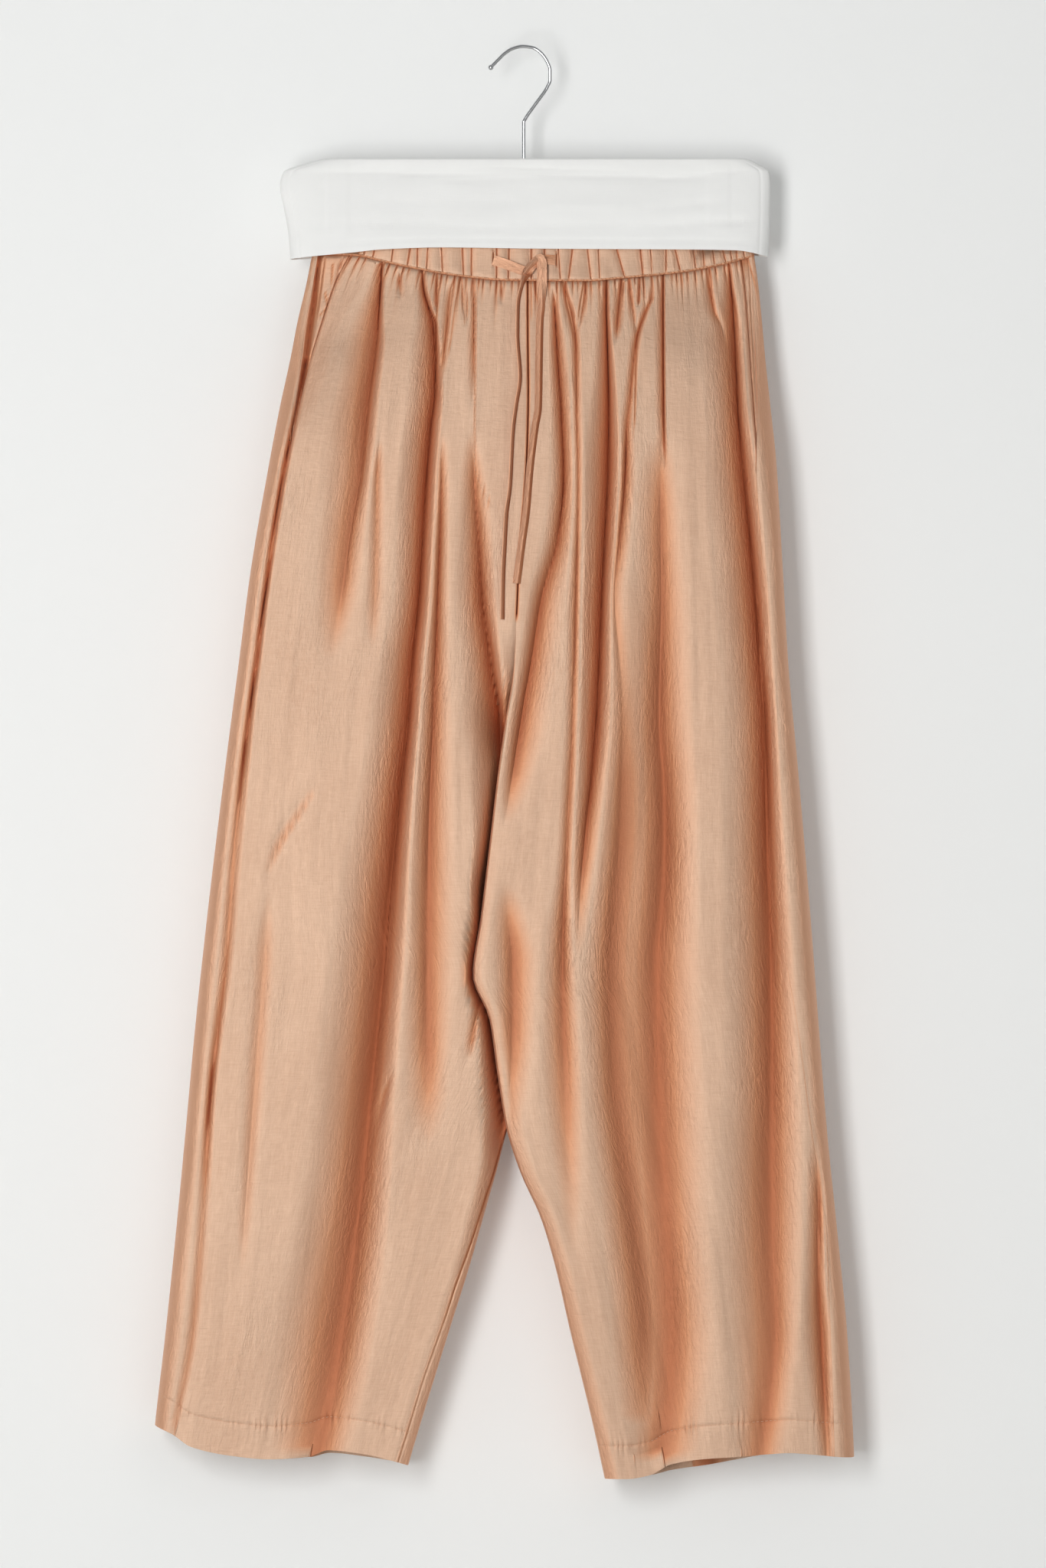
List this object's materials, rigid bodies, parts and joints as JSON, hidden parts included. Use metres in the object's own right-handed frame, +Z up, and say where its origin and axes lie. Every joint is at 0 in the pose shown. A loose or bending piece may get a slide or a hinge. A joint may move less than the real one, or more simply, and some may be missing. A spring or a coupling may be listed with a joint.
{
  "type": "pull-on maxi trousers on a covered clip hanger",
  "caption": "Wide pull-on maxi trousers in crinkled satin with a gathered drawstring waist and slant pockets, hung by the waistband from a clip hanger under a white cotton cover.",
  "frame": {"origin": "the inside top of the hanger's hook, where it rests on a rail", "axes": "+Z up, -Y the way the front of the trousers faces, +X to the viewer's right"},
  "size_m": [0.5664, 0.0729, 1.1601],
  "materials": {
    "satin": "crinkled satin",
    "cover_cotton": "plain cotton",
    "hook_chrome": "bright",
    "clip_steel": "satin",
    "bar_plastic": "matt"
  },
  "bodies": {
    "root": {"trouser_front_left": "satin", "trouser_front_right": "satin", "trouser_back_left": "satin", "trouser_back_right": "satin", "pocket_facing_left": "satin", "pocket_facing_right": "satin", "waistband_front": "satin", "waistband_back": "satin", "drawstring_left_lead": "satin", "drawstring_right_lead": "satin", "drawstring_knot": "satin", "drawstring_left_tail": "satin", "drawstring_right_tail": "satin", "hanger_hook": "hook_chrome", "hanger_bar": "bar_plastic", "clip_left": "clip_steel", "clip_right": "clip_steel", "hanger_cover": "cover_cotton"}
  },
  "joints": []
}
